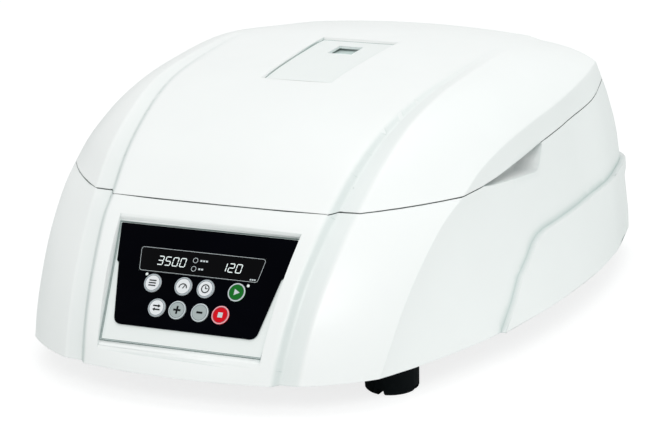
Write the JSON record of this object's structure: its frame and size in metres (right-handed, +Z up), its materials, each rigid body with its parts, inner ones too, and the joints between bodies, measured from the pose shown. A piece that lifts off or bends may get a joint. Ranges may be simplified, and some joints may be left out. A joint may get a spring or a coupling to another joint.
{
  "type": "clinical centrifuge",
  "caption": "Benchtop centrifuge with a rounded moulded case, a rear-hinged domed lid with a small sight window, a sloping key panel and an angled tube rotor in a round bowl",
  "frame": {"origin": "middle of the footprint on the surface the feet stand on", "axes": "+Z up, the key panel faces -Y, the lid hinge is at the +Y end, +X is to the right of someone facing the panel"},
  "size_m": [0.442, 0.52, 0.2115],
  "materials": {
    "shell": "white moulded plastic with a fine satin gloss",
    "liner": "light grey moulded plastic",
    "overlay": "black printed film",
    "lens": "dark clear display lens",
    "pane": "clear sight pane",
    "steel": "stainless steel",
    "sheet": "zinc-plated sheet steel",
    "alloy": "anodised aluminium alloy",
    "rubber": "black rubber",
    "black": "black moulded plastic",
    "motor": "dark grey painted motor case",
    "board": "green circuit board",
    "sleeve": "blue tube sleeves",
    "lamp": "clear lamp dome",
    "key_white": "white key",
    "key_grey": "grey key",
    "key_green": "green key",
    "key_red": "red key"
  },
  "bodies": {
    "base": {"base_housing": "shell", "base_plate": "sheet", "foot_front_left": "rubber", "foot_front_right": "rubber", "foot_rear_left": "rubber", "foot_rear_right": "rubber", "deck_panel": "liner", "chamber_bowl": "steel", "chamber_gasket": "rubber", "motor_housing": "motor", "motor_carrier": "sheet", "damper_1": "rubber", "damper_2": "rubber", "damper_3": "rubber", "damper_4": "rubber", "panel_plate": "shell", "membrane_overlay": "overlay", "display_lens": "lens", "display_module": "black", "led_program": "lamp", "led_run": "lamp", "control_board": "board", "lock_body": "black", "hinge_base_left": "steel", "hinge_base_right": "steel", "hinge_pin_left": "steel", "hinge_pin_right": "steel", "mains_inlet": "black", "switch_bezel": "black", "power_board": "board"},
    "lid": {"lid_shell": "shell", "lid_top_plate": "shell", "sight_window": "pane", "lid_liner": "liner", "lid_dome": "liner", "lid_striker": "steel", "hinge_lid_left": "steel", "hinge_lid_right": "steel"},
    "rotor": {"motor_shaft": "steel", "rotor_hub": "alloy", "rotor_plate": "alloy", "rotor_nut": "black", "tube_sleeve_1": "sleeve", "tube_sleeve_2": "sleeve", "tube_sleeve_3": "sleeve", "tube_sleeve_4": "sleeve", "tube_sleeve_5": "sleeve", "tube_sleeve_6": "sleeve", "tube_sleeve_7": "sleeve", "tube_sleeve_8": "sleeve"},
    "lock_bolt": {"lock_bolt": "steel"},
    "switch_rocker": {"switch_rocker": "black"},
    "key_program": {"key_program": "key_white"},
    "key_speed": {"key_speed": "key_white"},
    "key_time": {"key_time": "key_white"},
    "key_start": {"key_start": "key_green"},
    "key_mode": {"key_mode": "key_white"},
    "key_plus": {"key_plus": "key_grey"},
    "key_minus": {"key_minus": "key_grey"},
    "key_stop": {"key_stop": "key_red"}
  },
  "joints": [
    {"name": "lid_hinge", "type": "hinge", "parent": "base", "child": "lid", "pos_m": [0, 0.22601, 0.16102], "axis": [-1, 0, 0], "range_deg": [0, 65]},
    {"name": "rotor_spin", "type": "hinge", "parent": "base", "child": "rotor", "pos_m": [0, 0.04775, 0.125], "axis": [0, 0, 1], "continuous": true},
    {"name": "bolt_slide", "type": "slide", "parent": "base", "child": "lock_bolt", "axis": [0, -1, 0], "range_m": [0, 0.013], "stiffness_N_per_m": 60, "springref_m": -0.01},
    {"name": "rocker_tilt", "type": "hinge", "parent": "base", "child": "switch_rocker", "pos_m": [0.034, 0.2528, 0.053], "axis": [-1, 0, 0], "range_deg": [0, 18]},
    {"name": "key_program_press", "type": "slide", "parent": "base", "child": "key_program", "axis": [0, 0.8028, -0.5962], "range_m": [0, 0.0008], "stiffness_N_per_m": 800, "springref_m": -0.0005},
    {"name": "key_speed_press", "type": "slide", "parent": "base", "child": "key_speed", "axis": [0, 0.8028, -0.5962], "range_m": [0, 0.0008], "stiffness_N_per_m": 800, "springref_m": -0.0005},
    {"name": "key_time_press", "type": "slide", "parent": "base", "child": "key_time", "axis": [0, 0.8028, -0.5962], "range_m": [0, 0.0008], "stiffness_N_per_m": 800, "springref_m": -0.0005},
    {"name": "key_start_press", "type": "slide", "parent": "base", "child": "key_start", "axis": [0, 0.8028, -0.5962], "range_m": [0, 0.0008], "stiffness_N_per_m": 800, "springref_m": -0.0005},
    {"name": "key_mode_press", "type": "slide", "parent": "base", "child": "key_mode", "axis": [0, 0.8028, -0.5962], "range_m": [0, 0.0008], "stiffness_N_per_m": 800, "springref_m": -0.0005},
    {"name": "key_plus_press", "type": "slide", "parent": "base", "child": "key_plus", "axis": [0, 0.8028, -0.5962], "range_m": [0, 0.0008], "stiffness_N_per_m": 800, "springref_m": -0.0005},
    {"name": "key_minus_press", "type": "slide", "parent": "base", "child": "key_minus", "axis": [0, 0.8028, -0.5962], "range_m": [0, 0.0008], "stiffness_N_per_m": 800, "springref_m": -0.0005},
    {"name": "key_stop_press", "type": "slide", "parent": "base", "child": "key_stop", "axis": [0, 0.8028, -0.5962], "range_m": [0, 0.0008], "stiffness_N_per_m": 800, "springref_m": -0.0005}
  ]
}
